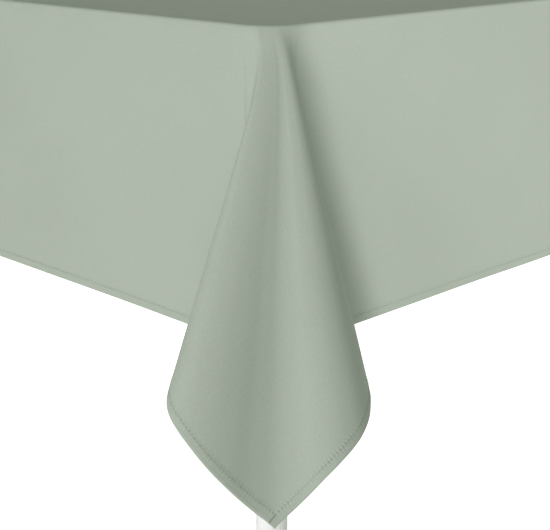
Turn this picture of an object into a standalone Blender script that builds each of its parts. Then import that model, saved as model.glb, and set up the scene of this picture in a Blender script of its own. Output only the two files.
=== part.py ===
"""A square table under a draped tablecloth.

Metres, +Z up. The origin is on the floor under the middle of the table. The front is -Y and the right is +X.
Each corner's fall of cloth hangs from the rounded corner of the table as a kite-shaped cone of loose cloth.
"""
import math

import bmesh
import bpy
import numpy as np
from mathutils import Vector

# Table
TABLE_LENGTH = 0.864  # along X, over the edge band
TABLE_WIDTH = 0.864  # along Y, over the edge band
TABLE_HEIGHT = 0.737  # floor to the top face of the panel
PANEL_THICKNESS = 0.022
CORNER_RADIUS = 0.028
EDGE_BAND_THICKNESS = 0.002
EDGE_BAND_ROUNDING = 0.0008

# Steel underframe
LEG_RADIUS = 0.014
LEG_WALL = 0.0015
LEG_INSET = 0.045  # table edge to leg axis
PLATE_SIDE = 0.096
PLATE_THICKNESS = 0.003
PLATE_CORNER_CUT = 0.010
RAIL_DEPTH = 0.040
RAIL_WIDTH = 0.020
RAIL_WALL = 0.0015

# Plate screws, placed from the leg axis towards the middle of the table
SCREW_SHANK_RADIUS = 0.0020
SCREW_HEAD_RADIUS = 0.0040
SCREW_HEAD_HEIGHT = 0.0025
SCREW_REACH = 0.0135  # into the panel
SCREW_HOLE_CLEARANCE = 0.0003
SCREW_SIDE_STEP = 0.018  # how far the two outer screws stand outside the leg axis
SCREW_FAR_STEP = 0.040  # how far each screw stands inside the leg axis

# Levelling feet
PAD_RADIUS = 0.015
PAD_HEIGHT = 0.008
PAD_FLOOR_CHAMFER = 0.0015
STUD_RADIUS = 0.004
STUD_LENGTH = 0.034
STUD_SOCKET_DEPTH = 0.005
STUD_CLEARANCE = 0.0003
INSERT_FLANGE = 0.003
INSERT_PLUG = 0.024

# Tablecloth
CLOTH_DROP = 0.254
CLOTH_THICKNESS = 0.001
HEM_HEIGHT = 0.009
HEM_THICKNESS = 0.001

GAP = 0.0003  # between pieces that touch
HEM_CLEARANCE = HEM_THICKNESS + 2 * GAP  # table edge to drop, so that the hem passes the edge when lifted
ROUND_SIDES = 24
SMALL_ROUND_SIDES = 12
CORNER_STEPS = 8
FALL_COLUMNS = 40
FALL_ROWS = (0.0, 0.06, 0.14, 0.26, 0.42, 0.60, 0.80, 1.0)  # shares of the way from the rim to the hem

# Half of a corner fall's section, per metre of drop, from the side drop round the fold to the middle.
# Each point is (outwards, sideways), both measured from where its thread leaves the table's rim.
FALL_SECTION = (
    (0.000, 0.000),
    (0.012, 0.012),
    (0.020, -0.005),
    (0.012, -0.070),
    (0.022, -0.150),
    (0.070, -0.222),
    (0.140, -0.258),
    (0.215, -0.263),
    (0.282, -0.238),
    (0.316, -0.185),
    (0.302, -0.115),
    (0.276, -0.050),
    (0.262, 0.000),
)

# A fall's side edges run on in the planes of the two drops beside it, seen in the fall's own frame.
FIRST_HEADING = Vector((1.0, 1.0, 0.0))
LAST_HEADING = Vector((-1.0, 1.0, 0.0))

# name, sign along X, sign along Y, direction that the corner points, in degrees from +X
CORNERS = (
    ("front_right", 1, -1, -45.0),
    ("back_right", 1, 1, 45.0),
    ("back_left", -1, 1, 135.0),
    ("front_left", -1, -1, -135.0),
)
# name, direction that the side faces, in degrees from +X
SIDES = (("front", -90.0), ("right", 0.0), ("back", 90.0), ("left", 180.0))


def clear_scene():
    for item in list(bpy.data.objects):
        bpy.data.objects.remove(item, do_unlink=True)


def make_material(name, colour, roughness, metallic=0.0):
    material = bpy.data.materials.new(name)
    material.use_nodes = True
    shader = material.node_tree.nodes["Principled BSDF"]
    shader.inputs["Base Color"].default_value = (*colour, 1.0)
    shader.inputs["Roughness"].default_value = roughness
    shader.inputs["Metallic"].default_value = metallic
    return material


def add_object(name, mesh, material, parent=None):
    item = bpy.data.objects.new(name, mesh)
    if material:
        mesh.materials.append(material)
    bpy.context.scene.collection.objects.link(item)
    item.parent = parent
    return item


def add_empty(name, location):
    item = bpy.data.objects.new(name, None)
    item.location = location
    bpy.context.scene.collection.objects.link(item)
    return item


def mesh_from(name, points, faces, smooth_degrees=None):
    mesh = bpy.data.meshes.new(name)
    mesh.from_pydata([tuple(point) for point in points], [], faces)
    work = bmesh.new()
    work.from_mesh(mesh)
    bmesh.ops.recalc_face_normals(work, faces=work.faces)
    work.to_mesh(mesh)
    work.free()
    if smooth_degrees is not None:
        mesh.shade_smooth()
        mesh.set_sharp_from_angle(angle=math.radians(smooth_degrees))
    return mesh


def turned_mesh(name, profile, sides):
    """A closed solid turned round Z. The profile's (radius, height) points run round the cut face."""
    points = []
    rings = []
    for radius, height in profile:
        if radius == 0.0:
            points.append((0.0, 0.0, height))
            rings.append([len(points) - 1] * sides)
            continue
        first = len(points)
        for step in range(sides):
            angle = 2.0 * math.pi * step / sides
            points.append((radius * math.cos(angle), radius * math.sin(angle), height))
        rings.append(list(range(first, first + sides)))
    closed = profile[0][0] > 0.0
    pairs = list(zip(rings, rings[1:]))
    if closed:
        pairs.append((rings[-1], rings[0]))
    faces = []
    for lower, upper in pairs:
        for step in range(sides):
            after = (step + 1) % sides
            corners = (lower[step], lower[after], upper[after], upper[step])
            face = tuple(dict.fromkeys(corners))
            if len(face) > 2:
                faces.append(face)
    return mesh_from(name, points, faces, smooth_degrees=40.0)


def extruded_mesh(name, outline, low, high, hole=None):
    """A straight prism along Z between two heights, with an optional hole that has as many points."""
    count = len(outline)
    points = [(x, y, low) for x, y in outline] + [(x, y, high) for x, y in outline]
    faces = [(i, (i + 1) % count, count + (i + 1) % count, count + i) for i in range(count)]
    if hole is None:
        faces.append(tuple(range(count)))
        faces.append(tuple(range(count, 2 * count)))
        return mesh_from(name, points, faces)
    points += [(x, y, low) for x, y in hole] + [(x, y, high) for x, y in hole]
    base = 2 * count
    for i in range(count):
        after = (i + 1) % count
        faces.append((base + i, base + after, base + count + after, base + count + i))
        faces.append((i, after, base + after, base + i))
        faces.append((count + i, count + after, base + count + after, base + count + i))
    return mesh_from(name, points, faces)


def rounded_rectangle(length, width, radius):
    outline = []
    for _, sign_x, sign_y, heading in CORNERS:
        centre_x = sign_x * (length / 2 - radius)
        centre_y = sign_y * (width / 2 - radius)
        for step in range(CORNER_STEPS + 1):
            angle = math.radians(heading - 45.0 + 90.0 * step / CORNER_STEPS)
            outline.append((centre_x + radius * math.cos(angle), centre_y + radius * math.sin(angle)))
    return outline


def rectangle(length, width):
    x = length / 2
    y = width / 2
    return [(-x, -y), (x, -y), (x, y), (-x, y)]


def add_cut(item, cutter):
    cut = item.modifiers.new("cut_" + cutter.name, "BOOLEAN")
    cut.operation = "DIFFERENCE"
    cut.object = cutter
    cut.solver = "EXACT"


def hide_cutter(cutter):
    cutter.hide_render = True
    cutter.display_type = "WIRE"


def panel_underside():
    return TABLE_HEIGHT - PANEL_THICKNESS


def plate_underside():
    return panel_underside() - GAP - PLATE_THICKNESS


def leg_axis(sign_x, sign_y):
    return Vector((sign_x * (TABLE_LENGTH / 2 - LEG_INSET), sign_y * (TABLE_WIDTH / 2 - LEG_INSET), 0.0))


def screw_places():
    """Every screw's name and axis: one inside each leg on the diagonal, and one to each side."""
    places = []
    for corner, sign_x, sign_y, _ in CORNERS:
        steps = (
            (SCREW_FAR_STEP, SCREW_FAR_STEP),
            (SCREW_FAR_STEP, -SCREW_SIDE_STEP),
            (-SCREW_SIDE_STEP, SCREW_FAR_STEP),
        )
        for number, (step_x, step_y) in enumerate(steps, start=1):
            place = leg_axis(sign_x, sign_y) - Vector((sign_x * step_x, sign_y * step_y, 0.0))
            places.append((f"plate_screw_{corner}_{number}", place))
    return places


def build_screw_cutter():
    """One cylinder for each screw, through the plates and into the panel."""
    work = bmesh.new()
    bottom = plate_underside() - PLATE_THICKNESS
    top = panel_underside() + SCREW_REACH + GAP
    for _, place in screw_places():
        created = bmesh.ops.create_cone(
            work,
            cap_ends=True,
            segments=SMALL_ROUND_SIDES,
            radius1=SCREW_SHANK_RADIUS + SCREW_HOLE_CLEARANCE,
            radius2=SCREW_SHANK_RADIUS + SCREW_HOLE_CLEARANCE,
            depth=top - bottom,
        )
        shift = Vector((place.x, place.y, (top + bottom) / 2))
        bmesh.ops.translate(work, verts=created["verts"], vec=shift)
    mesh = bpy.data.meshes.new("screw_cutter")
    work.to_mesh(mesh)
    work.free()
    cutter = add_object("screw_cutter", mesh, None)
    hide_cutter(cutter)
    return cutter


def build_leg_cutter():
    """The four leg tubes with their welding gap, which cope the rail ends."""
    work = bmesh.new()
    bottom = plate_underside() - 2 * RAIL_DEPTH
    top = plate_underside() + PLATE_THICKNESS
    for _, sign_x, sign_y, _ in CORNERS:
        created = bmesh.ops.create_cone(
            work,
            cap_ends=True,
            segments=ROUND_SIDES,
            radius1=LEG_RADIUS + GAP,
            radius2=LEG_RADIUS + GAP,
            depth=top - bottom,
        )
        shift = leg_axis(sign_x, sign_y) + Vector((0.0, 0.0, (top + bottom) / 2))
        bmesh.ops.translate(work, verts=created["verts"], vec=shift)
    mesh = bpy.data.meshes.new("leg_cutter")
    work.to_mesh(mesh)
    work.free()
    cutter = add_object("leg_cutter", mesh, None)
    hide_cutter(cutter)
    return cutter


def build_tabletop(screw_cutter):
    board = make_material("white_melamine", (0.84, 0.84, 0.82), 0.38)
    band = make_material("white_edge_band", (0.82, 0.82, 0.80), 0.42)
    panel_inset = 2 * (EDGE_BAND_THICKNESS + GAP)
    outline = rounded_rectangle(
        TABLE_LENGTH - panel_inset, TABLE_WIDTH - panel_inset, CORNER_RADIUS - panel_inset / 2
    )
    panel = add_object(
        "tabletop_panel", extruded_mesh("tabletop_panel", outline, panel_underside(), TABLE_HEIGHT), board
    )
    add_cut(panel, screw_cutter)
    outer = rounded_rectangle(TABLE_LENGTH, TABLE_WIDTH, CORNER_RADIUS)
    band_inset = 2 * EDGE_BAND_THICKNESS
    inner = rounded_rectangle(
        TABLE_LENGTH - band_inset, TABLE_WIDTH - band_inset, CORNER_RADIUS - EDGE_BAND_THICKNESS
    )
    ring = add_object(
        "edge_band", extruded_mesh("edge_band", outer, panel_underside(), TABLE_HEIGHT, inner), band
    )
    rounding = ring.modifiers.new("rounded_edges", "BEVEL")
    rounding.width = EDGE_BAND_ROUNDING
    rounding.segments = 1
    rounding.limit_method = "ANGLE"
    rounding.angle_limit = math.radians(60.0)


def build_plates(screw_cutter):
    steel = make_material("white_steel_plate", (0.80, 0.80, 0.79), 0.45, 0.0)
    half = PLATE_SIDE / 2
    for corner, sign_x, sign_y, _ in CORNERS:
        centre = leg_axis(sign_x, sign_y)
        # the plate's outer edges stand outside the leg by the screws' side step and a margin of its own
        shift = half - SCREW_SIDE_STEP - SCREW_HEAD_RADIUS * 2.5
        middle = centre - Vector((sign_x * shift, sign_y * shift, 0.0))
        cut = PLATE_CORNER_CUT
        outline = [
            (-half, -half),
            (half, -half),
            (half, half - cut),
            (half - cut, half),
            (-half, half),
        ]
        outline = [(middle.x + sign_x * x, middle.y + sign_y * y) for x, y in outline]
        name = f"leg_plate_{corner}"
        low = plate_underside()
        plate = add_object(name, extruded_mesh(name, outline, low, low + PLATE_THICKNESS), steel)
        add_cut(plate, screw_cutter)


def build_screws():
    steel = make_material("zinc_screw", (0.62, 0.62, 0.60), 0.35, 1.0)
    seat = plate_underside() - GAP
    tip = panel_underside() + SCREW_REACH
    head = SCREW_HEAD_RADIUS
    profile = (
        (0.0, seat - SCREW_HEAD_HEIGHT),
        (head * 0.65, seat - SCREW_HEAD_HEIGHT),
        (head, seat - SCREW_HEAD_HEIGHT * 0.45),
        (head, seat),
        (SCREW_SHANK_RADIUS, seat),
        (SCREW_SHANK_RADIUS, tip - SCREW_SHANK_RADIUS),
        (0.0, tip),
    )
    mesh = turned_mesh("plate_screw", profile, SMALL_ROUND_SIDES)
    mesh.materials.append(steel)
    for name, place in screw_places():
        screw = add_object(name, mesh, None)
        screw.location = place


def foot_insert_bottom():
    return PAD_HEIGHT + GAP


def leg_bottom():
    return foot_insert_bottom() + INSERT_FLANGE + GAP


def build_legs():
    steel = make_material("white_steel_tube", (0.82, 0.82, 0.81), 0.40, 0.0)
    low = leg_bottom()
    high = plate_underside() - GAP
    inner = LEG_RADIUS - LEG_WALL
    profile = ((inner, low), (LEG_RADIUS, low), (LEG_RADIUS, high), (inner, high))
    mesh = turned_mesh("leg", profile, ROUND_SIDES)
    mesh.materials.append(steel)
    for corner, sign_x, sign_y, _ in CORNERS:
        leg = add_object(f"leg_{corner}", mesh, None)
        leg.location = leg_axis(sign_x, sign_y)


def build_rails(leg_cutter):
    steel = make_material("white_steel_rail", (0.81, 0.81, 0.80), 0.42, 0.0)
    middle = plate_underside() - GAP - RAIL_DEPTH / 2
    for side, facing in SIDES:
        along_x = side in ("front", "back")
        span = (TABLE_LENGTH if along_x else TABLE_WIDTH) - 2 * LEG_INSET
        reach = (TABLE_WIDTH if along_x else TABLE_LENGTH) / 2 - LEG_INSET
        outer = rectangle(RAIL_DEPTH, RAIL_WIDTH)
        hollow = rectangle(RAIL_DEPTH - 2 * RAIL_WALL, RAIL_WIDTH - 2 * RAIL_WALL)
        name = f"rail_{side}"
        # the ends stop where the next rail's side would begin, and are coped round the legs
        half = span / 2 - RAIL_WIDTH / 2 - GAP
        rail = add_object(name, extruded_mesh(name, outer, -half, half, hollow), steel)
        angle = math.radians(facing)
        rail.location = (reach * math.cos(angle), reach * math.sin(angle), middle)
        rail.rotation_euler = (0.0, math.radians(90.0), angle + math.radians(90.0))
        add_cut(rail, leg_cutter)


def build_feet():
    plug_plastic = make_material("grey_insert_plastic", (0.62, 0.62, 0.61), 0.55)
    stud_steel = make_material("zinc_stud", (0.60, 0.60, 0.58), 0.35, 1.0)
    pad_plastic = make_material("grey_pad_plastic", (0.45, 0.45, 0.44), 0.60)
    bore = STUD_RADIUS + STUD_CLEARANCE
    plug = LEG_RADIUS - LEG_WALL - GAP
    low = foot_insert_bottom()
    flange_top = low + INSERT_FLANGE
    insert_profile = (
        (bore, low),
        (LEG_RADIUS, low),
        (LEG_RADIUS, flange_top),
        (plug, flange_top),
        (plug, flange_top + INSERT_PLUG),
        (bore, flange_top + INSERT_PLUG),
    )
    socket_floor = PAD_HEIGHT - STUD_SOCKET_DEPTH
    pad_profile = (
        (0.0, 0.0),
        (PAD_RADIUS - PAD_FLOOR_CHAMFER, 0.0),
        (PAD_RADIUS, PAD_FLOOR_CHAMFER),
        (PAD_RADIUS, PAD_HEIGHT * 0.5),
        (PAD_RADIUS * 0.8, PAD_HEIGHT),
        (bore, PAD_HEIGHT),
        (bore, socket_floor),
        (0.0, socket_floor),
    )
    stud_low = socket_floor + GAP
    stud_profile = (
        (0.0, stud_low),
        (STUD_RADIUS, stud_low),
        (STUD_RADIUS, stud_low + STUD_LENGTH),
        (0.0, stud_low + STUD_LENGTH),
    )
    insert_mesh = turned_mesh("foot_insert", insert_profile, ROUND_SIDES)
    insert_mesh.materials.append(plug_plastic)
    pad_mesh = turned_mesh("foot_pad", pad_profile, ROUND_SIDES)
    pad_mesh.materials.append(pad_plastic)
    stud_mesh = turned_mesh("foot_stud", stud_profile, SMALL_ROUND_SIDES)
    stud_mesh.materials.append(stud_steel)
    for corner, sign_x, sign_y, _ in CORNERS:
        axis = leg_axis(sign_x, sign_y)
        insert = add_object(f"foot_insert_{corner}", insert_mesh, None)
        insert.location = axis
        foot = add_empty(f"foot_axis_{corner}", axis)
        add_object(f"foot_stud_{corner}", stud_mesh, None, foot)
        add_object(f"foot_pad_{corner}", pad_mesh, None, foot)


def smooth_curve(points, count):
    """Evenly spaced points along the Catmull-Rom curve through the given ones."""
    known = np.array(points)
    known = np.vstack([2 * known[0] - known[1], known, 2 * known[-1] - known[-2]])
    fine = []
    for index in range(1, len(known) - 2):
        before, start, end, after = known[index - 1:index + 3]
        for t in np.linspace(0.0, 1.0, 12, endpoint=False):
            fine.append(
                start
                + 0.5 * t * (end - before)
                + t * t * (before - 2.5 * start + 2.0 * end - 0.5 * after)
                + 0.5 * t ** 3 * (3.0 * (start - end) + after - before)
            )
    fine.append(known[-2])
    fine = np.array(fine)
    steps = np.linalg.norm(np.diff(fine, axis=0), axis=1)
    distance = np.concatenate([[0.0], np.cumsum(steps)])
    wanted = np.linspace(0.0, distance[-1], count)
    return np.column_stack([np.interp(wanted, distance, fine[:, axis]) for axis in range(2)])


def fall_surface(inset, hem_only=False):
    """Rows of points over one corner fall, in a frame at the table's virtual corner.

    X points outwards along the corner's diagonal and Y to the right, seen from outside. The cloth is a fan
    about the centre of the table's corner arc. Each thread leaves the rim and runs straight to the hem.
    """
    whole = [point for point in FALL_SECTION] + [(x, -y) for x, y in reversed(FALL_SECTION[:-1])]
    section = smooth_curve(whole, FALL_COLUMNS + 1)
    middle_radius = CORNER_RADIUS + HEM_CLEARANCE + CLOTH_THICKNESS / 2
    overhang = CLOTH_DROP + middle_radius
    rows = []
    shares = (0.0, 1.0) if hem_only else FALL_ROWS
    for share in shares:
        row = []
        for column in range(FALL_COLUMNS + 1):
            fan = math.radians(90.0) * column / FALL_COLUMNS
            nearest_side = min(fan, math.radians(90.0) - fan)
            hem_distance = overhang / math.cos(nearest_side) - middle_radius
            distance = hem_distance * share
            if hem_only:
                distance = hem_distance - (1.0 - share) * HEM_HEIGHT / math.cos(nearest_side)
            arc = fan - math.radians(45.0)
            rim = Vector((
                middle_radius * math.cos(arc) - CORNER_RADIUS * math.sqrt(2.0),
                middle_radius * math.sin(arc),
                0.0,
            ))
            outwards, sideways = section[column]
            thread = Vector((outwards, sideways, -1.0)).normalized()
            row.append(rim + thread * distance)
        rows.append(row)
    if inset:
        rows = push_inwards(rows, inset)
    return rows


def push_inwards(rows, inset):
    """Each point moved from the outer side of the cloth towards its inner side."""
    moved = []
    for r, row in enumerate(rows):
        new_row = []
        for c, point in enumerate(row):
            along = row[min(c + 1, len(row) - 1)] - row[max(c - 1, 0)]
            if c == 0:
                along = FIRST_HEADING
            elif c == len(row) - 1:
                along = LAST_HEADING
            down = rows[min(r + 1, len(rows) - 1)][c] - rows[max(r - 1, 0)][c]
            outer = down.cross(along).normalized()
            new_row.append(point - outer * inset)
        moved.append(new_row)
    return moved


def sheet_mesh(name, rows, thickness):
    """A closed sheet of even thickness about the rows of points."""
    front = push_inwards(rows, -thickness / 2)
    back = push_inwards(rows, thickness / 2)
    columns = len(rows[0])
    layer = len(rows) * columns
    points = [point for row in front for point in row] + [point for row in back for point in row]
    faces = []
    for r in range(len(rows) - 1):
        for c in range(columns - 1):
            a = r * columns + c
            quad = (a, a + 1, a + columns + 1, a + columns)
            faces.append(quad)
            faces.append(tuple(layer + corner for corner in reversed(quad)))
    border = list(range(columns))
    border += [r * columns + columns - 1 for r in range(1, len(rows))]
    border += [(len(rows) - 1) * columns + c for c in range(columns - 2, -1, -1)]
    border += [r * columns for r in range(len(rows) - 2, 0, -1)]
    for start, end in zip(border, border[1:] + border[:1]):
        faces.append((start, end, layer + end, layer + start))
    return mesh_from(name, points, faces, smooth_degrees=50.0)


def cloth_outer_offset():
    return HEM_CLEARANCE + CLOTH_THICKNESS


def build_cloth_top(fabric, cloth):
    offset = cloth_outer_offset()
    outline = rounded_rectangle(
        TABLE_LENGTH + 2 * offset, TABLE_WIDTH + 2 * offset, CORNER_RADIUS + offset
    )
    low = TABLE_HEIGHT + GAP
    mesh = extruded_mesh("cloth_top", outline, low, low + CLOTH_THICKNESS)
    top = add_object("cloth_top", mesh, fabric, cloth)
    top.location = -cloth.location


def build_drops(fabric, hem_fabric, cloth):
    """The four flat side drops, and the hem turned up behind each one."""
    for side, facing in SIDES:
        along_x = side in ("front", "back")
        run = (TABLE_LENGTH if along_x else TABLE_WIDTH) - 2 * (CORNER_RADIUS + GAP)
        reach = (TABLE_WIDTH if along_x else TABLE_LENGTH) / 2
        high = TABLE_HEIGHT
        low = TABLE_HEIGHT - CLOTH_DROP
        inner = reach + HEM_CLEARANCE
        strips = (
            (f"drop_{side}", fabric, inner, CLOTH_THICKNESS, low, high),
            (f"hem_{side}", hem_fabric, inner - GAP - HEM_THICKNESS, HEM_THICKNESS, low, low + HEM_HEIGHT),
        )
        for name, material, start, thickness, bottom, top in strips:
            outline = rectangle(thickness, run)
            outline = [(x + start + thickness / 2, y) for x, y in outline]
            strip = add_object(name, extruded_mesh(name, outline, bottom, top), material, cloth)
            strip.rotation_euler = (0.0, 0.0, math.radians(facing))
            strip.location = -cloth.location


def build_falls(fabric, hem_fabric, cloth):
    """The four kite-shaped corner falls, and the hem turned in behind each one."""
    fall_mesh = sheet_mesh("fall", fall_surface(0.0), CLOTH_THICKNESS)
    fall_mesh.materials.append(fabric)
    hem_inset = CLOTH_THICKNESS / 2 + GAP + HEM_THICKNESS / 2
    hem_mesh = sheet_mesh("fall_hem", fall_surface(hem_inset, hem_only=True), HEM_THICKNESS)
    hem_mesh.materials.append(hem_fabric)
    for corner, sign_x, sign_y, heading in CORNERS:
        place = Vector((sign_x * TABLE_LENGTH / 2, sign_y * TABLE_WIDTH / 2, TABLE_HEIGHT))
        for name, mesh in ((f"fall_{corner}", fall_mesh), (f"fall_hem_{corner}", hem_mesh)):
            item = add_object(name, mesh, None, cloth)
            item.rotation_euler = (0.0, 0.0, math.radians(heading))
            item.location = place - cloth.location


def build_cloth():
    fabric = make_material("sage_polyester", (0.40, 0.46, 0.37), 0.62)
    hem_fabric = make_material("sage_hem", (0.38, 0.44, 0.35), 0.66)
    cloth = add_empty("cloth_axis", Vector((0.0, 0.0, TABLE_HEIGHT)))
    build_cloth_top(fabric, cloth)
    build_drops(fabric, hem_fabric, cloth)
    build_falls(fabric, hem_fabric, cloth)


def build():
    clear_scene()
    screw_cutter = build_screw_cutter()
    leg_cutter = build_leg_cutter()
    build_tabletop(screw_cutter)
    build_plates(screw_cutter)
    build_screws()
    build_legs()
    build_rails(leg_cutter)
    build_feet()
    build_cloth()


build()
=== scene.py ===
"""The looks of a square table under a draped sage-green tablecloth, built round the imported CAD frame."""
import math

import bpy
import numpy as np
from mathutils import Matrix, Vector


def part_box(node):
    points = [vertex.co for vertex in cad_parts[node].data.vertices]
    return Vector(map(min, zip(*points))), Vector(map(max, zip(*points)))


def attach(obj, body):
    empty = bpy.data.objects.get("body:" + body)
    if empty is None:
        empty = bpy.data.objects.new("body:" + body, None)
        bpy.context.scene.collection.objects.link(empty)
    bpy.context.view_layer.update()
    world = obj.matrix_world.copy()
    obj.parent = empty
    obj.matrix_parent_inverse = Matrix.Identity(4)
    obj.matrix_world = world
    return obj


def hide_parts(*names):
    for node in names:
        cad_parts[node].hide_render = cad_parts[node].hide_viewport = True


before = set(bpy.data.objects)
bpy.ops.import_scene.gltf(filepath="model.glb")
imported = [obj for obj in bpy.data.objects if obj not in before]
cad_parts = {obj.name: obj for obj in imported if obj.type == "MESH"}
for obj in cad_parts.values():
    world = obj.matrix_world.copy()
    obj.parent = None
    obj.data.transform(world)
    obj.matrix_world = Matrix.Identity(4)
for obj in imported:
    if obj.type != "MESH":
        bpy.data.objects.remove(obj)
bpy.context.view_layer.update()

# ---- sizes, from the CAD frame
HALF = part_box("cloth_top")[1].x  # outer face of the side drops
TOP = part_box("cloth_top")[1].z  # outer face of the top
HEM_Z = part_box("drop_front")[0].z
TABLE_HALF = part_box("edge_band")[1].x
TABLE_CORNER = 0.028  # the table's corner radius
RIM = TABLE_CORNER + HALF - TABLE_HALF  # radius of the cloth round a table corner
INNER = HALF - RIM  # half the square between the corner arcs' centres

EDGE = 0.0026  # radius of the cloth's bend over the table edge
CLOTH = 0.0005  # visible thickness of one layer
HEM = 0.009
HEM_THICK = 0.0015  # three layers
EDGE_THICK = HEM_THICK - 0.0007  # at the hem's rounded edge
EDGE_SINK = 0.00035  # how far the hem's face turns in at its edge
SEAM_SINK = 0.00014  # how far the stitches draw the hem's face in
STITCH_LINE = 0.0072  # from the hem's edge
STITCH_PITCH = 0.0033
STITCH_LENGTH = 0.0025
# a stitch's rings: place along it as a share of its length, radius, height above the cloth
STITCH_RINGS = ((-0.5, 0.00008, -0.00005), (-0.3, 0.00023, 0.00016), (0.0, 0.00026, 0.00026),
                (0.3, 0.00023, 0.00016), (0.5, 0.00008, -0.00005))
STITCH_SIDES = 6

# ---- the cloth's mesh: threads round it, and rings down each thread
SIDE_STEPS = 72
CORNER_STEPS = 120
TOP_RINGS = (0.35, 0.7, 1.0)  # shares of the way from the arc centres' square to the bend
BEND_RINGS = (0.2, 0.4, 0.6, 0.8, 1.0)  # shares of the bend over the table edge
DROP_RINGS = 40
DROP_SPACING = 0.85  # below 1 sets the rings closer together towards the hem
FREE_END = 0.032  # the last of those rings, from the hem's edge
HEM_RINGS = (0.024, 0.018, 0.0135, 0.0110, 0.0097, HEM, 0.0082,
             STITCH_LINE, 0.0062, 0.0045, 0.0025, 0.0010, 0.0)  # from the hem's edge
# flat distance from the arc centres' square out to the hem, along a side
REACH = (RIM - EDGE) + 0.5 * math.pi * EDGE + (TOP - EDGE - HEM_Z)
FLAT_HALF = INNER + REACH

# One corner fall from its left drop round both folds to its right drop. Each row has the thread's fan angle
# in degrees, its outwards and sideways run per metre of drop, where on the rim (degrees) it gathers to, and
# how much longer than its flat length it hangs (metres), which brings the hem to its line in the photograph.
FALL = (
    (0.0, 0.000, 0.000, 0.0, 0.0),
    (1.1, 0.012, 0.012, 4.0, 0.0),
    (2.4, 0.020, -0.005, 8.0, 0.0),
    (6.5, 0.012, -0.078, 20.0, 0.0),
    (11.5, 0.022, -0.168, 36.0, 0.0),
    (16.0, 0.075, -0.245, 46.0, 0.0),
    (20.0, 0.150, -0.290, 50.0, 0.0),
    (23.5, 0.225, -0.305, 52.0, 0.0),
    (27.0, 0.296, -0.306, 53.0, 0.0),
    (29.5, 0.348, -0.293, 54.0, 0.0008),
    (31.5, 0.376, -0.265, 55.0, 0.0028),
    (33.5, 0.382, -0.227, 56.5, 0.0052),
    (36.0, 0.372, -0.177, 58.0, 0.0078),
    (39.0, 0.343, -0.121, 59.0, 0.0074),
    (42.0, 0.304, -0.066, 60.0, 0.0056),
    (45.0, 0.283, -0.013, 60.5, 0.0014),
    (48.0, 0.284, 0.041, 61.0, 0.0026),
    (51.0, 0.298, 0.095, 61.5, 0.0022),
    (53.5, 0.300, 0.140, 62.0, 0.0026),
    (56.2, 0.284, 0.187, 62.5, 0.0026),
    (58.0, 0.264, 0.213, 63.0, 0.0016),
    (59.8, 0.238, 0.231, 63.3, 0.0006),
    (61.6, 0.206, 0.240, 63.6, 0.0),
    (64.0, 0.164, 0.245, 64.0, 0.0),
    (67.2, 0.120, 0.238, 65.0, 0.0),
    (71.2, 0.064, 0.210, 67.0, 0.0),
    (76.5, 0.020, 0.150, 71.0, 0.0),
    (82.0, 0.012, 0.070, 78.0, 0.0),
    (86.6, 0.034, 0.002, 83.0, 0.0),
    (88.4, 0.020, -0.020, 87.0, 0.0),
    (90.0, 0.000, 0.000, 90.0, 0.0),
)
GATHER = 0.020  # how far below the rim the threads have gathered
SWELL = 0.060  # how far below the rim the lobes have swelled
CALM = 0.295  # the outwards run that the lobes start with

DROP_SWELL = 0.0016  # size of the side drops' slow swells
DROP_WAVES = ((2, 0.5), (3, 0.8), (5, 0.45), (8, 0.2))  # half waves along a side, and each one's share
TOP_SWELL = 0.0004  # size of the top's slight swells


def smooth_rows(rows, count):
    """Rows at even steps of the first value along the Catmull-Rom curve through the given ones."""
    known = np.array(rows, dtype=float)
    known = np.vstack([2 * known[0] - known[1], known, 2 * known[-1] - known[-2]])
    fine = []
    for i in range(1, len(known) - 2):
        before, start, end, after = known[i - 1:i + 3]
        for t in np.linspace(0.0, 1.0, 16, endpoint=False):
            fine.append(
                start
                + 0.5 * t * (end - before)
                + t * t * (before - 2.5 * start + 2.0 * end - 0.5 * after)
                + 0.5 * t ** 3 * (3.0 * (start - end) + after - before)
            )
    fine.append(known[-2])
    fine = np.array(fine)
    wanted = np.linspace(fine[0, 0], fine[-1, 0], count)
    return np.column_stack([np.interp(wanted, fine[:, 0], fine[:, k]) for k in range(1, fine.shape[1])])


def row_places():
    """Each ring of the cloth outside the arc centres' square: which part it is in, and where."""
    places = [("top", share) for share in TOP_RINGS]
    places += [("bend", share) for share in BEND_RINGS]
    places += [("drop", share) for share in np.linspace(0.0, 1.0, DROP_RINGS + 1)[1:] ** DROP_SPACING]
    places += [("hem", distance) for distance in HEM_RINGS]
    return places


def thread_points(rim, rim_end, normal, heading, reach, slope, places, hold=0.0):
    """Points down one thread of the cloth, from the top over the table edge to the hem.

    Hold is the vector by which a lobe's slope starts short of its full heading.
    """
    turn = math.acos(max(-1.0, min(1.0, float(normal @ heading))))
    side = heading - (normal @ heading) * normal
    side /= np.linalg.norm(side)
    bend_length = EDGE * turn
    start = rim - normal * EDGE
    straight = reach - (RIM - EDGE) - bend_length
    bend_end = start + EDGE * (math.sin(turn) * normal + (1.0 - math.cos(turn)) * side)
    points = []
    for part, value in places:
        if part == "top":
            points.append(rim - normal * (EDGE + (RIM - EDGE) * (1.0 - value)))
            continue
        if part == "bend":
            angle = turn * value
            points.append(start + EDGE * (math.sin(angle) * normal + (1.0 - math.cos(angle)) * side))
            continue
        if part == "drop":
            distance = (straight - FREE_END / slope) * value
        else:
            distance = straight - value / slope
        gathered = 1.0 - math.exp(-distance / GATHER)
        swelled = 1.0 - math.exp(-distance / SWELL)
        points.append(bend_end + heading * distance + (rim_end - rim) * gathered - hold * swelled * SWELL)
    return points


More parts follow.
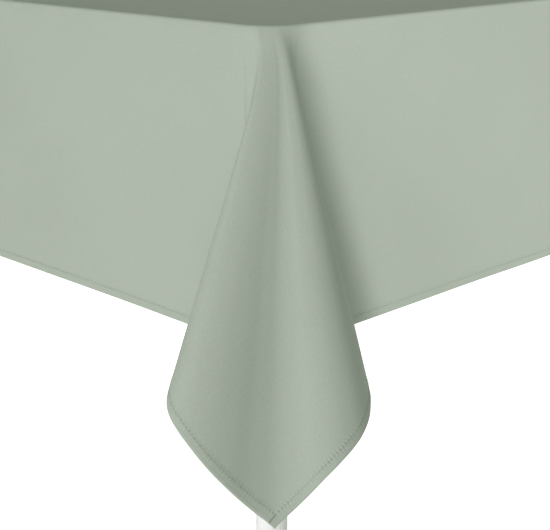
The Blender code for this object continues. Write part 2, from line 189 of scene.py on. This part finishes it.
def ruffle(along, share, seed):
    """A slow outward swell of a side drop, nothing at its ends and at the table edge."""
    swell = 0.0
    for n, size in DROP_WAVES:
        swell += size * (1.0 + math.sin(math.pi * n * along + 1.7 * seed + n))
    return DROP_SWELL * swell * share ** 1.3 * math.sin(math.pi * along) ** 0.7


def build_threads(falls):
    """Every ring column's points and flat places, anticlockwise from the front side's left end."""
    places = row_places()
    columns = []
    flats = []
    lift = np.array([0.0, 0.0, TOP])
    down = np.array([0.0, 0.0, -1.0])
    for k in range(4):
        facing = math.radians(-90.0 + 90.0 * k)
        out = np.array([math.cos(facing), math.sin(facing), 0.0])
        across = np.array([-math.sin(facing), math.cos(facing), 0.0])
        for j in range(SIDE_STEPS):
            share = j / SIDE_STEPS
            place = across * INNER * (2.0 * share - 1.0)
            rim = out * HALF + place + lift
            points = thread_points(rim, rim, out, down, REACH, 1.0, places)
            for point in points:
                depth = max(0.0, TOP - EDGE - point[2]) / (TOP - HEM_Z)
                if depth > 0.0 and share > 0.0:
                    point += out * ruffle(share, depth, k)
            columns.append(points)
            flats.append((place[:2] + out[:2] * INNER, out[:2], REACH, 1.0))
        corner = math.radians(-45.0 + 90.0 * k)
        axis = np.array([math.cos(corner), math.sin(corner), 0.0])
        right = np.array([-math.sin(corner), math.cos(corner), 0.0])
        centre = axis * INNER * math.sqrt(2.0)
        section = smooth_rows(falls[k], CORNER_STEPS + 1)
        for j in range(CORNER_STEPS):
            fan = 0.5 * math.pi * j / CORNER_STEPS
            outwards, sideways, gather, ease = section[j]
            heading = axis * outwards + right * sideways + down
            heading /= np.linalg.norm(heading)
            arc = fan - 0.25 * math.pi
            normal = axis * math.cos(arc) + right * math.sin(arc)
            arc_end = math.radians(gather - 45.0)
            normal_end = axis * math.cos(arc_end) + right * math.sin(arc_end)
            rim = centre + normal * RIM + lift
            rim_end = centre + normal_end * RIM + lift
            slope = math.cos(min(fan, 0.5 * math.pi - fan))
            reach = REACH / slope + ease
            hold = axis * max(0.0, outwards - CALM)
            columns.append(thread_points(rim, rim_end, normal, heading, reach, slope, places, hold))
            flats.append((centre[:2], normal[:2], REACH / slope, slope))
    return np.array(columns), flats, places


# ---- mesh
def flat_distance(part, value, reach, slope):
    """How far along its thread a ring lies in the flat cloth, from the arc centres' square."""
    if part == "top":
        return (RIM - EDGE) * value
    bend_length = 0.5 * math.pi * EDGE
    if part == "bend":
        return RIM - EDGE + bend_length * value
    straight = reach - (RIM - EDGE) - bend_length
    if part == "drop":
        return RIM - EDGE + bend_length + (straight - FREE_END / slope) * value
    return reach - value / slope


def top_height(x, y):
    """The top lies almost flat, with slight swells away from the table's edge."""
    reach = 1.0 - max(abs(x), abs(y)) / INNER
    calm = min(1.0, max(0.0, reach * 4.0))
    swell = math.sin(7.3 * x + 2.1 * y + 0.6) * math.sin(5.2 * y - 1.7 * x + 1.1)
    swell += 0.5 * math.sin(16.0 * x - 6.0 * y) * math.sin(13.0 * y + 4.0 * x)
    return TOP + TOP_SWELL * calm * (1.2 + swell)


def point_normals(points, faces):
    """Area-weighted outward normals at the points."""
    normals = np.zeros_like(points)
    for size in (3, 4):
        group = np.array([face for face in faces if len(face) == size])
        if not len(group):
            continue
        a, b, c, d = (points[group[:, k]] for k in (0, 1, 2, size - 1))
        face_normal = np.cross(c - a, d - b) if size == 4 else np.cross(b - a, c - a)
        for k in range(size):
            np.add.at(normals, group[:, k], face_normal)
    return normals / np.maximum(np.linalg.norm(normals, axis=1), 1e-12)[:, None]


def make_piece(name, points, faces, material, flats=None, smooth=True):
    mesh = bpy.data.meshes.new(name)
    mesh.from_pydata([tuple(p) for p in points], [], [tuple(int(i) for i in f) for f in faces])
    if flats is not None:
        layer = mesh.uv_layers.new(name="flat")
        index = np.empty(len(mesh.loops), dtype=np.int32)
        mesh.loops.foreach_get("vertex_index", index)
        layer.data.foreach_set("uv", np.asarray(flats)[index].ravel())
    if smooth:
        mesh.shade_smooth()
    mesh.materials.append(material)
    piece = bpy.data.objects.new(name, mesh)
    bpy.context.scene.collection.objects.link(piece)
    return piece


def build_cloth(falls, material, thread_material):
    """The tablecloth as one closed sheet, with its hem turned up inside, and the hem's row of stitches."""
    columns, flat_rows, places = build_threads(falls)
    count, rings = columns.shape[:2]
    steps = np.linspace(-INNER, INNER, SIDE_STEPS + 1)
    outer = [(x, y, top_height(x, y)) for y in steps for x in steps]
    flats = [(x, y) for y in steps for x in steps]
    wide = SIDE_STEPS + 1
    faces = []
    for row in range(SIDE_STEPS):
        for column in range(SIDE_STEPS):
            a = row * wide + column
            faces.append((a, a + 1, a + wide + 1, a + wide))
    grid = len(outer)
    for column in range(count):
        start, direction, reach, slope = flat_rows[column]
        for ring, (part, value) in enumerate(places):
            outer.append(tuple(columns[column][ring]))
            flats.append(tuple(start + direction * flat_distance(part, value, reach, slope)))
    border = []
    for k in range(4):
        for j in range(SIDE_STEPS):
            border.append((j, j * wide + SIDE_STEPS, wide * wide - 1 - j, (SIDE_STEPS - j) * wide)[k])
        corner = (SIDE_STEPS, wide * wide - 1, wide * SIDE_STEPS, 0)[k]
        border += [corner] * CORNER_STEPS
    for column in range(count):
        after = (column + 1) % count
        here, there = grid + column * rings, grid + after * rings
        inner_here, inner_there = border[column], border[after]
        if inner_here == inner_there:
            faces.append((inner_here, here, there))
        else:
            faces.append((inner_here, here, there, inner_there))
        for ring in range(rings - 1):
            faces.append((here + ring, here + ring + 1, there + ring + 1, there + ring))
    outer = np.array(outer)
    normals = point_normals(outer, faces)
    depth = np.full(len(outer), CLOTH)
    for ring, (part, value) in enumerate(places):
        if part == "hem" and value <= HEM:
            depth[grid + ring::rings] = HEM_THICK
    last = grid + np.arange(count) * rings + rings - 1
    for ring, (part, value) in enumerate(places):
        if part != "hem":
            continue
        ids = grid + np.arange(count) * rings + ring
        if value == STITCH_LINE:
            outer[ids] -= normals[ids] * SEAM_SINK
        elif value == 0.0:
            outer[ids] -= normals[ids] * EDGE_SINK
            depth[ids] = EDGE_THICK
    inner = outer - normals * depth[:, None]
    total = len(outer)
    points = np.vstack([outer, inner])
    inside = [tuple(total + i for i in reversed(face)) for face in faces]
    closing = []
    for column in range(count):
        a, b = last[column], last[(column + 1) % count]
        closing.append((a, total + a, total + b, b))
    cloth = make_piece("tablecloth", points, faces + inside + closing, material, flats + flats)
    ring = next(i for i, place in enumerate(places) if place == ("hem", STITCH_LINE))
    ids = grid + np.arange(count) * rings + ring
    stitches = build_stitches(outer[ids], normals[ids], thread_material)
    return cloth, stitches


def build_stitches(line, normals, material):
    """Separate raised stitches along the hem's closed seam line."""
    closed = np.vstack([line, line[:1]])
    facing = np.vstack([normals, normals[:1]])
    travel = np.concatenate([[0.0], np.cumsum(np.linalg.norm(np.diff(closed, axis=0), axis=1))])
    number = int(travel[-1] / STITCH_PITCH)
    pitch = travel[-1] / number
    sides = STITCH_SIDES
    points = []
    faces = []
    for n in range(number):
        middle = (n + 0.5) * pitch
        base = len(points)
        for share, radius, height in STITCH_RINGS:
            place = middle + share * STITCH_LENGTH
            centre = np.array([np.interp(place, travel, closed[:, k]) for k in range(3)])
            up = np.array([np.interp(place, travel, facing[:, k]) for k in range(3)])
            up /= np.linalg.norm(up)
            ahead = np.array([np.interp(place + 0.001, travel, closed[:, k]) for k in range(3)]) - centre
            side = np.cross(up, ahead)
            side /= np.linalg.norm(side)
            for m in range(sides):
                angle = 2.0 * math.pi * m / sides
                points.append(
                    centre + up * (height + radius * math.sin(angle)) + side * radius * math.cos(angle))
        for r in range(len(STITCH_RINGS) - 1):
            for m in range(sides):
                a, b = base + r * sides + m, base + r * sides + (m + 1) % sides
                faces.append((a, b, b + sides, a + sides))
        faces.append(tuple(base + m for m in reversed(range(sides))))
        faces.append(tuple(base + (len(STITCH_RINGS) - 1) * sides + m for m in range(sides)))
    return make_piece("hem_stitches", points, faces, material)


# ---- materials
CLOTH_DARK = (0.385, 0.428, 0.372)
CLOTH_LIGHT = (0.402, 0.446, 0.390)
SLUB_TINT = (0.30, 0.36, 0.28)
GRAIN_TINT = (0.50, 0.56, 0.48)
HEM_TINT = (0.27, 0.33, 0.25)
SEAM_SHADE = (0.17, 0.21, 0.155)
THREAD_DARK = (0.31, 0.35, 0.29)
THREAD_LIGHT = (0.38, 0.42, 0.36)
PAINT_DARK = (0.85, 0.85, 0.845)
PAINT_LIGHT = (0.90, 0.90, 0.895)
ZINC_DARK = (0.46, 0.46, 0.44)
ZINC_LIGHT = (0.66, 0.65, 0.61)
WEAVE_PERIOD = 0.0007


def new_material(name):
    """A new material, its node tree and its Principled shader."""
    material = bpy.data.materials.new(name)
    material.use_nodes = True
    tree = material.node_tree
    shader = tree.nodes["Principled BSDF"]
    return material, tree, shader


def add_node(tree, kind, inputs=None, **settings):
    node = tree.nodes.new(kind)
    for name, value in settings.items():
        setattr(node, name, value)
    for name, value in (inputs or {}).items():
        if isinstance(value, bpy.types.NodeSocket):
            tree.links.new(value, node.inputs[name])
        else:
            node.inputs[name].default_value = value
    return node


def math_node(tree, operation, a, b=0.0):
    return add_node(tree, "ShaderNodeMath", {0: a, 1: b}, operation=operation).outputs[0]


def map_range(tree, value, low, high, to_low, to_high):
    node = add_node(tree, "ShaderNodeMapRange", {"Value": value, "From Min": low, "From Max": high,
                                                 "To Min": to_low, "To Max": to_high})
    return node.outputs["Result"]


def mix_colour(tree, factor, a, b):
    node = add_node(tree, "ShaderNodeMix", data_type="RGBA")
    for socket, value in ((node.inputs["Factor"], factor), (node.inputs[6], a), (node.inputs[7], b)):
        if isinstance(value, bpy.types.NodeSocket):
            tree.links.new(value, socket)
        elif isinstance(value, tuple):
            socket.default_value = (*value, 1.0)
        else:
            socket.default_value = value
    return node.outputs[2]


def noise(tree, vector, scale, detail=2.0, roughness=0.5):
    node = add_node(tree, "ShaderNodeTexNoise",
                    {"Vector": vector, "Scale": scale, "Detail": detail, "Roughness": roughness})
    return node.outputs["Fac"]


def stretched(tree, vector, scale):
    return add_node(tree, "ShaderNodeMapping", {"Vector": vector, "Scale": scale}).outputs["Vector"]


def bands(tree, vector, period, direction):
    node = add_node(tree, "ShaderNodeTexWave",
                    {"Vector": vector, "Scale": 2.0 * math.pi / (20.0 * period), "Distortion": 0.0},
                    wave_type="BANDS", bands_direction=direction, wave_profile="SIN")
    return node.outputs["Fac"]


def bump(tree, height, strength, distance, normal=None):
    inputs = {"Height": height, "Strength": strength, "Distance": distance}
    if normal is not None:
        inputs["Normal"] = normal
    return add_node(tree, "ShaderNodeBump", inputs).outputs["Normal"]


def cloth_material():
    """Smooth plain-woven polyester: fine threads, a few thicker ones, faint mottling and a stitched hem."""
    material, tree, shader = new_material("sage_polyester")
    flat = add_node(tree, "ShaderNodeUVMap", uv_map="flat").outputs["UV"]
    split = add_node(tree, "ShaderNodeSeparateXYZ", {"Vector": flat})
    x_size = math_node(tree, "ABSOLUTE", split.outputs["X"])
    y_size = math_node(tree, "ABSOLUTE", split.outputs["Y"])
    from_edge = math_node(tree, "SUBTRACT", FLAT_HALF, math_node(tree, "MAXIMUM", x_size, y_size))
    hem = map_range(tree, from_edge, HEM + 0.0006, HEM - 0.0004, 0.0, 1.0)
    slub_x = noise(tree, stretched(tree, flat, (1500.0, 55.0, 1.0)), 1.0, 1.0)
    slub_y = noise(tree, stretched(tree, flat, (55.0, 1500.0, 1.0)), 1.0, 1.0)
    slub = math_node(tree, "ADD", slub_x, slub_y)
    grain = noise(tree, flat, 420.0, 3.0, 0.65)
    patch = noise(tree, flat, 5.0, 3.0, 0.55)
    colour = mix_colour(tree, map_range(tree, patch, 0.35, 0.65, 0.0, 1.0), CLOTH_DARK, CLOTH_LIGHT)
    colour = mix_colour(tree, map_range(tree, slub, 0.75, 1.25, 0.0, 0.16), colour, SLUB_TINT)
    colour = mix_colour(tree, map_range(tree, grain, 0.40, 0.66, 0.0, 0.22), colour, GRAIN_TINT)
    colour = mix_colour(tree, math_node(tree, "MULTIPLY", hem, 0.05), colour, HEM_TINT)
    # where two seams cross at a corner, one runs on dark to the cloth's edge
    seam = FLAT_HALF - STITCH_LINE
    from_seam_x = math_node(tree, "ABSOLUTE", math_node(tree, "SUBTRACT", x_size, seam))
    seam_x = map_range(tree, from_seam_x, 0.0004, 0.0011, 1.0, 0.0)
    past_y = map_range(tree, y_size, seam - 0.0010, seam + 0.0006, 0.0, 0.75)
    colour = mix_colour(tree, math_node(tree, "MULTIPLY", seam_x, past_y), colour, SEAM_SHADE)
    weave = math_node(tree, "ADD", bands(tree, flat, WEAVE_PERIOD, "X"), bands(tree, flat, WEAVE_PERIOD, "Y"))
    threads = math_node(tree, "ADD", weave, math_node(tree, "MULTIPLY", slub, 1.6))
    fine = bump(tree, threads, 0.35, 0.00012)
    # the seam draws the hem into puckers that run across it, along y on two sides and along x on the others
    facing_x = math_node(tree, "GREATER_THAN", x_size, y_size)
    facing_y = math_node(tree, "SUBTRACT", 1.0, facing_x)
    waves_x = math_node(tree, "MULTIPLY", bands(tree, flat, STITCH_PITCH, "X"), facing_y)
    waves_y = math_node(tree, "MULTIPLY", bands(tree, flat, STITCH_PITCH, "Y"), facing_x)
    from_seam = math_node(tree, "ABSOLUTE", math_node(tree, "SUBTRACT", from_edge, STITCH_LINE))
    near_seam = map_range(tree, from_seam, 0.0, 0.0034, 1.0, 0.0)
    pucker = math_node(tree, "MULTIPLY", math_node(tree, "ADD", waves_x, waves_y), near_seam)
    drift = math_node(tree, "MULTIPLY", noise(tree, flat, 130.0, 2.0), near_seam)
    rippled = bump(tree, math_node(tree, "ADD", pucker, drift), 0.5, 0.0005, fine)
    tree.links.new(colour, shader.inputs["Base Color"])
    tree.links.new(map_range(tree, grain, 0.35, 0.65, 0.60, 0.76), shader.inputs["Roughness"])
    tree.links.new(rippled, shader.inputs["Normal"])
    shader.inputs["Specular IOR Level"].default_value = 0.32
    shader.inputs["Sheen Weight"].default_value = 0.10
    shader.inputs["Sheen Roughness"].default_value = 0.45
    shader.inputs["Sheen Tint"].default_value = (0.86, 0.95, 0.82, 1.0)
    return material


def thread_material():
    """Twisted polyester sewing thread, a shade deeper than the cloth."""
    material, tree, shader = new_material("sage_thread")
    place = add_node(tree, "ShaderNodeTexCoord").outputs["Object"]
    twist = add_node(tree, "ShaderNodeTexWave", {"Vector": place, "Scale": 700.0, "Distortion": 1.5},
                     wave_type="BANDS", bands_direction="DIAGONAL").outputs["Fac"]
    shade = noise(tree, place, 900.0, 2.0)
    tree.links.new(mix_colour(tree, shade, THREAD_DARK, THREAD_LIGHT), shader.inputs["Base Color"])
    tree.links.new(map_range(tree, twist, 0.0, 1.0, 0.42, 0.62), shader.inputs["Roughness"])
    tree.links.new(bump(tree, twist, 0.5, 0.0001), shader.inputs["Normal"])
    return material


def hard_material(name, low, high, rough, grain_scale, grain_depth, metallic=0.0, coat=0.0, streak=None):
    """A painted, moulded or plated surface with its own grain, faint handling marks and soft tone changes."""
    material, tree, shader = new_material(name)
    place = add_node(tree, "ShaderNodeTexCoord").outputs["Object"]
    tone = noise(tree, place, 9.0, 4.0, 0.6)
    grain = noise(tree, stretched(tree, place, streak) if streak else place, grain_scale, 3.0, 0.6)
    smudge = noise(tree, place, 34.0, 5.0, 0.7)
    colour = mix_colour(tree, map_range(tree, tone, 0.35, 0.65, 0.0, 1.0), low, high)
    colour = mix_colour(tree, map_range(tree, grain, 0.3, 0.7, 0.0, 0.25), colour, low)
    tree.links.new(colour, shader.inputs["Base Color"])
    tree.links.new(map_range(tree, smudge, 0.35, 0.70, rough[0], rough[1]), shader.inputs["Roughness"])
    tree.links.new(bump(tree, grain, 0.4, grain_depth), shader.inputs["Normal"])
    shader.inputs["Metallic"].default_value = metallic
    shader.inputs["Coat Weight"].default_value = coat
    shader.inputs["Coat Roughness"].default_value = 0.25
    return material


def stud_material():
    """Zinc-plated thread: ridges run round the stud."""
    material, tree, shader = new_material("zinc_thread")
    place = add_node(tree, "ShaderNodeTexCoord").outputs["Object"]
    ridges = bands(tree, place, 0.00125, "Z")
    plating = noise(tree, place, 160.0, 4.0, 0.6)
    tree.links.new(mix_colour(tree, plating, ZINC_DARK, ZINC_LIGHT), shader.inputs["Base Color"])
    tree.links.new(map_range(tree, plating, 0.3, 0.7, 0.26, 0.44), shader.inputs["Roughness"])
    tree.links.new(bump(tree, ridges, 0.9, 0.0005), shader.inputs["Normal"])
    shader.inputs["Metallic"].default_value = 1.0
    return material


FINISHES = {
    "tabletop_panel": hard_material(
        "white_melamine", (0.79, 0.79, 0.77), (0.85, 0.85, 0.83), (0.34, 0.46), 900.0, 0.00006),
    "edge_band": hard_material(
        "white_edge_band", (0.77, 0.77, 0.75), (0.83, 0.83, 0.81), (0.28, 0.40), 500.0, 0.00005,
        streak=(1.0, 1.0, 6.0)),
    "leg_plate": hard_material(
        "powder_coated_plate", PAINT_DARK, PAINT_LIGHT, (0.40, 0.55), 1100.0, 0.00012, coat=0.15),
    "rail": hard_material(
        "powder_coated_rail", PAINT_DARK, PAINT_LIGHT, (0.36, 0.50), 1100.0, 0.00012, coat=0.2),
    "leg": hard_material(
        "powder_coated_leg", PAINT_DARK, PAINT_LIGHT, (0.34, 0.50), 1100.0, 0.00012, coat=0.2),
    "plate_screw": hard_material(
        "zinc_screw", ZINC_DARK, ZINC_LIGHT, (0.26, 0.44), 300.0, 0.00008, metallic=1.0),
    "foot_insert": hard_material(
        "grey_insert_plastic", (0.34, 0.34, 0.335), (0.40, 0.40, 0.395), (0.48, 0.62), 1400.0, 0.00010),
    "foot_pad": hard_material(
        "dark_grey_pad_plastic", (0.15, 0.15, 0.15), (0.20, 0.20, 0.20), (0.55, 0.72), 1200.0, 0.00015),
    "foot_stud": stud_material(),
}
REPLACED = ("cloth_top", "drop_", "hem_", "fall_")  # the CAD nodes that the cloth stands in for


# ---- pieces
def varied(fall, mirrored, outwards, sideways):
    """The same way of hanging, turned left for right where asked, and fuller or slimmer."""
    rows = [(fan, o * outwards, w * sideways, gather, ease) for fan, o, w, gather, ease in fall]
    if mirrored:
        rows = [(90.0 - fan, o, -w, 90.0 - gather, ease) for fan, o, w, gather, ease in reversed(rows)]
    return rows


falls = [FALL, varied(FALL, True, 0.97, 0.95), varied(FALL, False, 0.93, 1.02), varied(FALL, True, 1.0, 0.98)]
cloth, stitches = build_cloth(falls, cloth_material(), thread_material())
cloth_nodes = [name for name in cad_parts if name.startswith(REPLACED)]
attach(cloth, "cloth")
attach(stitches, "cloth")
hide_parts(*cloth_nodes)

for name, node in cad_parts.items():
    if name in cloth_nodes:
        continue
    prefix = max((key for key in FINISHES if name.startswith(key)), key=len)
    for slot in node.material_slots:
        slot.material = FINISHES[prefix]


# ---- studio
FLOOR_HALF = 40.0
LAMP = (1.0, 0.965, 1.02)  # the lamps' colour
GRID_TILT = 20.6  # degrees, the slant of the right drop's beam

# the camera fitted to the photograph
CAMERA_FROM_CORNER = Vector((0.6207, -0.6099, 0.0878))  # from the cloth's near corner
CAMERA_TURN = 44.724  # degrees
CAMERA_PITCH = 17.174
CAMERA_ROLL = -0.061
CAMERA_LENS = 77.1  # mm, on a 36 mm sensor


def add_light(name, place, target, size, power, colour):
    data = bpy.data.lights.new(name, "AREA")
    data.shape = "RECTANGLE"
    data.size, data.size_y = size
    data.energy = power
    data.color = colour
    light = bpy.data.objects.new(name, data)
    light.location = place
    light.rotation_euler = (Vector(target) - Vector(place)).to_track_quat("-Z", "Y").to_euler()
    bpy.context.scene.collection.objects.link(light)
    return light


floor_material, floor_tree, floor_shader = new_material("studio_floor")
floor_place = add_node(floor_tree, "ShaderNodeTexCoord").outputs["Object"]
floor_tone = noise(floor_tree, floor_place, 3.0, 3.0)
floor_tree.links.new(mix_colour(floor_tree, floor_tone, (0.80, 0.80, 0.80), (0.84, 0.84, 0.84)),
                     floor_shader.inputs["Base Color"])
floor_shader.inputs["Roughness"].default_value = 0.9
floor_shader.inputs["Specular IOR Level"].default_value = 0.1
floor_shader.inputs["Emission Color"].default_value = (0.96, 1.0, 0.94, 1.0)
seen = add_node(floor_tree, "ShaderNodeLightPath").outputs["Is Camera Ray"]
glow_strength = map_range(floor_tree, seen, 0.0, 1.0, 0.20, 0.95)
floor_tree.links.new(glow_strength, floor_shader.inputs["Emission Strength"])
floor_corners = [(x * FLOOR_HALF, y * FLOOR_HALF, 0.0) for x, y in ((-1, -1), (1, -1), (1, 1), (-1, 1))]
floor = make_piece("floor", floor_corners, [(0, 1, 2, 3)], floor_material, smooth=False)

add_light("key", (0.73, -2.80, 0.48), (0.42, -0.44, 0.56), (1.2, 0.66), 30.2, LAMP)
add_light("front_fill", (2.60, -2.60, 1.25), (0.43, -0.43, 0.62), (1.2, 1.2), 3.2, LAMP)
add_light("back_fill", (-2.40, 2.40, 0.45), (-0.43, 0.43, 0.45), (1.2, 0.8), 19.0, LAMP)
# gridded lamps: their straight beams light one side each and pass over the legs; the right one also ends in a
# slanting edge beside the corner fall, where the photograph is darker
for name, place, target, size, power, spread, tilt in (
    ("right_side", (1.50, 0.337, 0.60), (0.43, 0.337, 0.60), (1.30, 1.80), 3.78, 3.0, GRID_TILT),
    ("back_side", (-0.15, 1.60, 0.86), (-0.15, 0.43, 0.86), (1.04, 0.88), 1.0, 6.0, 0.0),
    ("left_side", (-1.60, 0.15, 0.86), (-0.43, 0.15, 0.86), (1.04, 0.88), 1.3, 6.0, 0.0),
):
    lamp = add_light(name, place, target, size, power, LAMP)
    lamp.data.spread = math.radians(spread)
    lamp.rotation_euler.rotate_axis("Z", math.radians(tilt))

world = bpy.data.worlds.new("studio")
world.use_nodes = True
air = world.node_tree
backdrop = air.nodes["Background"]
backdrop.inputs["Color"].default_value = (0.93, 0.94, 0.93, 1.0)
backdrop.inputs["Strength"].default_value = 0.9
glow = add_node(air, "ShaderNodeBackground", {"Color": (0.93, 1.0, 0.88, 1.0), "Strength": 0.45})
choice = add_node(air, "ShaderNodeMixShader", {0: add_node(air, "ShaderNodeLightPath").outputs["Is Camera Ray"],
                                               1: glow.outputs[0], 2: backdrop.outputs[0]})
air.links.new(choice.outputs[0], air.nodes["World Output"].inputs["Surface"])
bpy.context.scene.world = world
bpy.context.scene.view_settings.view_transform = "Standard"

camera_data = bpy.data.cameras.new("camera")
camera_data.lens = CAMERA_LENS
camera_data.sensor_width = 36.0
camera_data.clip_end = 100.0
camera = bpy.data.objects.new("camera", camera_data)
turn, pitch, roll = math.radians(CAMERA_TURN), math.radians(CAMERA_PITCH), math.radians(CAMERA_ROLL)
ahead = Vector((-math.cos(turn) * math.cos(pitch), math.sin(turn) * math.cos(pitch), -math.sin(pitch)))
level = ahead.cross(Vector((0.0, 0.0, 1.0))).normalized()
above = level.cross(ahead)
right = level * math.cos(roll) + above * math.sin(roll)
above = above * math.cos(roll) - level * math.sin(roll)
facing = Matrix((right, above, -ahead)).transposed().to_4x4()
camera.matrix_world = Matrix.Translation(Vector((HALF, -HALF, TOP)) + CAMERA_FROM_CORNER) @ facing
bpy.context.scene.collection.objects.link(camera)
bpy.context.scene.camera = camera
